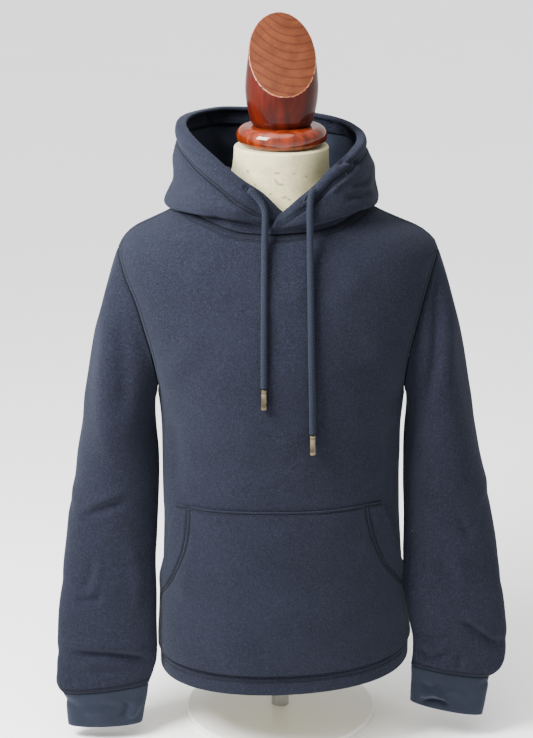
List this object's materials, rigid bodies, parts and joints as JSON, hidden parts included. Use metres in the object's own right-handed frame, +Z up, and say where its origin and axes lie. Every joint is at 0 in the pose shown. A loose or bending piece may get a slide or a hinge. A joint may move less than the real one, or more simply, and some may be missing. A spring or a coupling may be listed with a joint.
{
  "type": "pullover hoodie on a limbless dress form",
  "caption": "Pullover hooded sweatshirt with kangaroo pocket and drawcord, worn by a limbless dress form with a turned neck block on a short stand.",
  "frame": {"origin": "on the stand's underside, straight below the middle of the neck; the stand's own middle is 32 mm behind it", "axes": "+Z up, the front faces -Y, +X to the right as seen from the front"},
  "size_m": [0.6024, 0.3054, 0.9609],
  "materials": {
    "fleece": "navy brushed-back fleece with a faint heather speckle, matt",
    "rib": "navy cuff cloth, matt",
    "lining": "dark navy jersey with fine horizontal ribs, matt",
    "braid": "navy braided cord, slightly lighter than the cloth",
    "nickel": "aged nickel, satin",
    "canvas": "cream form cover, faintly scuffed",
    "varnished_wood": "reddish brown, glossy varnish; paler and matt on the slanted cut",
    "steel": "satin",
    "enamel": "white, satin"
  },
  "bodies": {
    "root": {"front": "fleece", "back": "fleece", "sleeve_left": "fleece", "sleeve_right": "fleece", "pocket": "fleece", "hood_left": "fleece", "hood_right": "fleece", "cuff_left": "rib", "cuff_right": "rib", "hood_lining_left": "lining", "hood_lining_right": "lining", "drawcord_left": "braid", "drawcord_right": "braid", "aglet_left": "nickel", "aglet_right": "nickel", "form_torso": "canvas", "form_ring": "varnished_wood", "form_finial": "varnished_wood", "form_pole": "steel", "form_base": "enamel"}
  },
  "joints": []
}
